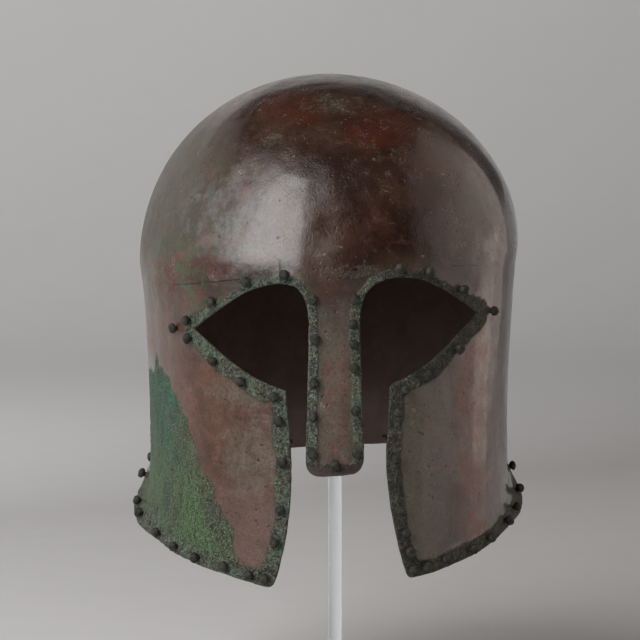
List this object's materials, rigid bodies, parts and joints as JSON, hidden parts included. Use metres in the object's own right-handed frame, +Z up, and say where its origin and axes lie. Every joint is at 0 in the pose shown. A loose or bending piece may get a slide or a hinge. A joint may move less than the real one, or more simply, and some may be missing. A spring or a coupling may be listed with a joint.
{
  "type": "corinthian helmet on display stand",
  "caption": "Bronze helmet with almond eye holes, a long nasal, pointed cheek guards, a flared neck edge and rivets along its edges, held up by a clear rod on a round base.",
  "frame": {"origin": "middle of the underside of the stand's round base, which lies on the table", "axes": "+Z up along the rod, -Y out of the helmet's face, +X to the right as seen from the front"},
  "size_m": [0.2007, 0.2433, 0.329],
  "materials": {
    "bronze": "old hammered bronze with a waxed dark brown patina, red-brown patches and rough grey-green crust along its edges",
    "rivet_crust": "corroded bronze, matt dark olive green",
    "clear_acrylic": "clear polished acrylic with a faint blue tint"
  },
  "bodies": {
    "root": {"helmet_shell": "bronze", "rivet_brow_left_1": "rivet_crust", "rivet_brow_left_2": "rivet_crust", "rivet_brow_left_3": "rivet_crust", "rivet_brow_left_4": "rivet_crust", "rivet_brow_left_5": "rivet_crust", "rivet_brow_right_1": "rivet_crust", "rivet_brow_right_2": "rivet_crust", "rivet_brow_right_3": "rivet_crust", "rivet_brow_right_4": "rivet_crust", "rivet_lid_left_1": "rivet_crust", "rivet_lid_left_2": "rivet_crust", "rivet_lid_left_3": "rivet_crust", "rivet_lid_left_4": "rivet_crust", "rivet_lid_right_1": "rivet_crust", "rivet_lid_right_2": "rivet_crust", "rivet_lid_right_3": "rivet_crust", "rivet_cheek_left_1": "rivet_crust", "rivet_cheek_left_2": "rivet_crust", "rivet_cheek_left_3": "rivet_crust", "rivet_cheek_left_4": "rivet_crust", "rivet_cheek_right_1": "rivet_crust", "rivet_cheek_right_2": "rivet_crust", "rivet_cheek_right_3": "rivet_crust", "rivet_cheek_right_4": "rivet_crust", "rivet_cheek_right_5": "rivet_crust", "rivet_nasal_left_1": "rivet_crust", "rivet_nasal_left_2": "rivet_crust", "rivet_nasal_left_3": "rivet_crust", "rivet_nasal_left_4": "rivet_crust", "rivet_nasal_right_1": "rivet_crust", "rivet_nasal_right_2": "rivet_crust", "rivet_nasal_right_3": "rivet_crust", "rivet_nasal_right_4": "rivet_crust", "rivet_nasal_right_5": "rivet_crust", "rivet_rim_left_1": "rivet_crust", "rivet_rim_left_2": "rivet_crust", "rivet_rim_left_3": "rivet_crust", "rivet_rim_left_4": "rivet_crust", "rivet_rim_left_5": "rivet_crust", "rivet_rim_left_6": "rivet_crust", "rivet_rim_left_7": "rivet_crust", "rivet_rim_right_1": "rivet_crust", "rivet_rim_right_2": "rivet_crust", "rivet_rim_right_3": "rivet_crust", "rivet_rim_right_4": "rivet_crust", "rivet_rim_right_5": "rivet_crust", "rivet_rim_right_6": "rivet_crust", "rivet_rim_right_7": "rivet_crust", "rivet_eye_corner_1": "rivet_crust", "rivet_eye_corner_2": "rivet_crust", "rivet_nasal_foot_1": "rivet_crust", "stand_pad": "clear_acrylic", "stand_rod": "clear_acrylic", "stand_base": "clear_acrylic"}
  },
  "joints": []
}
